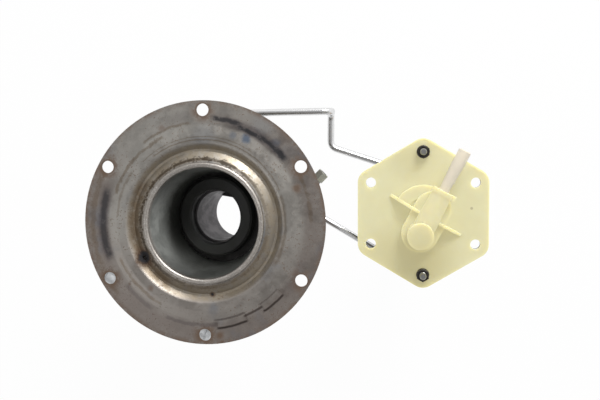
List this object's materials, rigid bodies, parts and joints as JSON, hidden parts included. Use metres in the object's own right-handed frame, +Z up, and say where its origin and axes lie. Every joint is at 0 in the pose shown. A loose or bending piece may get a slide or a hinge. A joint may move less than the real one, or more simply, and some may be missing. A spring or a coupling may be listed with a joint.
{
  "type": "fuel tank sending unit",
  "caption": "Fuel tank sender: round steel filler neck flange tied by a rod to a hexagonal plastic head with an elbow outlet, pickup, rheostat and cranked float arm.",
  "frame": {"origin": "centre of the round flange's underside, which seats on the tank's top", "axes": "+Z up out of the tank along the neck, +X from the round flange towards the hexagonal head"},
  "size_m": [0.2202, 0.1376, 0.1426],
  "materials": {
    "pressed_steel": "worn grey steel with rust",
    "cup_steel": "satin",
    "spout_steel": "dark satin",
    "welded_steel": "satin",
    "passivated_nut": "olive zinc",
    "bright_wire": "bright zinc",
    "zinc_sheet": "zinc plate",
    "zinc_fastener": "zinc plate",
    "dark_fastener": "dark oiled steel",
    "black_rubber": "matte",
    "yellow_nylon": "semi gloss pale yellow",
    "clear_tube": "translucent",
    "black_plastic": "matte",
    "cover_board": "laminated board",
    "brass": "satin",
    "winding_wire": "fine wire",
    "strainer_plastic": "matte off-white",
    "float_metal": "satin"
  },
  "bodies": {
    "sender": {"filler_flange": "pressed_steel", "neck_cup": "cup_steel", "cup_floor": "spout_steel", "spout_tube": "spout_steel", "spout_ring": "black_rubber", "locator_tab_a": "welded_steel", "locator_tab_b": "welded_steel", "locator_tab_c": "welded_steel", "drain_nipple": "welded_steel", "vent_pipe": "welded_steel", "vent_nut": "passivated_nut", "stay_saddle_a": "welded_steel", "stay_saddle_b": "welded_steel", "stay_rod": "bright_wire", "stay_tab": "zinc_sheet", "stay_nut_a": "zinc_fastener", "stay_nut_b": "zinc_fastener", "head_gasket": "black_rubber", "head_plate": "yellow_nylon", "outlet_tube": "clear_tube", "stud_a": "dark_fastener", "stud_b": "dark_fastener", "stud_nut_a": "dark_fastener", "stud_nut_b": "dark_fastener", "stud_washer_a": "dark_fastener", "stud_washer_b": "dark_fastener", "sender_bracket": "zinc_sheet", "rheostat_case": "black_plastic", "case_cover": "cover_board", "cover_screw_a": "zinc_fastener", "cover_screw_b": "zinc_fastener", "cover_screw_c": "zinc_fastener", "cover_screw_d": "zinc_fastener", "case_rivet_a": "zinc_fastener", "case_rivet_b": "zinc_fastener", "pivot_bush": "brass", "resistor_card": "cover_board", "resistor_winding": "winding_wire", "sender_tag": "brass", "dip_tube": "zinc_sheet", "dip_clip": "zinc_sheet", "strainer_cage": "strainer_plastic", "strainer_mesh": "strainer_plastic"},
    "arm": {"float_arm": "bright_wire", "wiper_hub": "brass", "wiper_blade": "brass", "shaft_clip": "dark_fastener", "float_clip_a": "dark_fastener", "float_clip_b": "dark_fastener"},
    "float": {"float_shell": "float_metal", "float_cap_a": "float_metal", "float_cap_b": "float_metal", "float_tube": "float_metal"}
  },
  "joints": [
    {"name": "arm_lift", "type": "hinge", "parent": "sender", "child": "arm", "pos_m": [0.117, 0.01, -0.06], "axis": [0, 1, 0], "range_deg": [-28, 0]},
    {"name": "float_spin", "type": "hinge", "parent": "arm", "child": "float", "pos_m": [-0.0331, -0.0465, -0.035], "axis": [0.866, -0.5, 0], "continuous": true}
  ]
}
